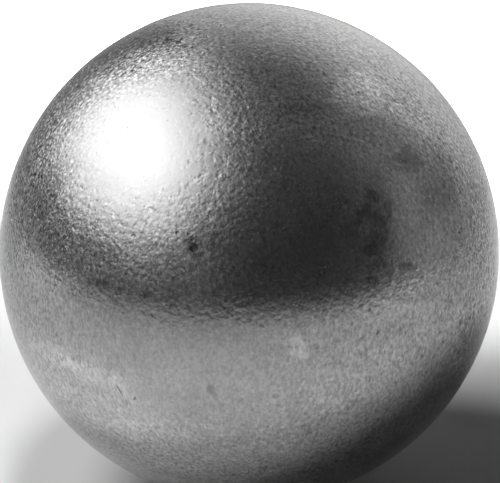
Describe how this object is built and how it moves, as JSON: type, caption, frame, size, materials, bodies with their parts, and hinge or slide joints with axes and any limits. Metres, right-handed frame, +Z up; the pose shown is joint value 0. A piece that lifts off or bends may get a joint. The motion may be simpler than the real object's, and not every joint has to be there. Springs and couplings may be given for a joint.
{
  "type": "steel ball",
  "caption": "Solid round steel ball with a matt pebbled skin and small dings, to roll, bear, weigh down or strike.",
  "frame": {"origin": "centre of the ball", "axes": "+Z up through the top of the ball, -Y towards the front with the marks, +X to the right of that front"},
  "size_m": [0.025, 0.025, 0.025],
  "materials": {
    "bare_steel": "matt blasted bare steel with a fine pebbled grain, lightly stained"
  },
  "bodies": {
    "root": {"ball": "bare_steel"}
  },
  "joints": []
}
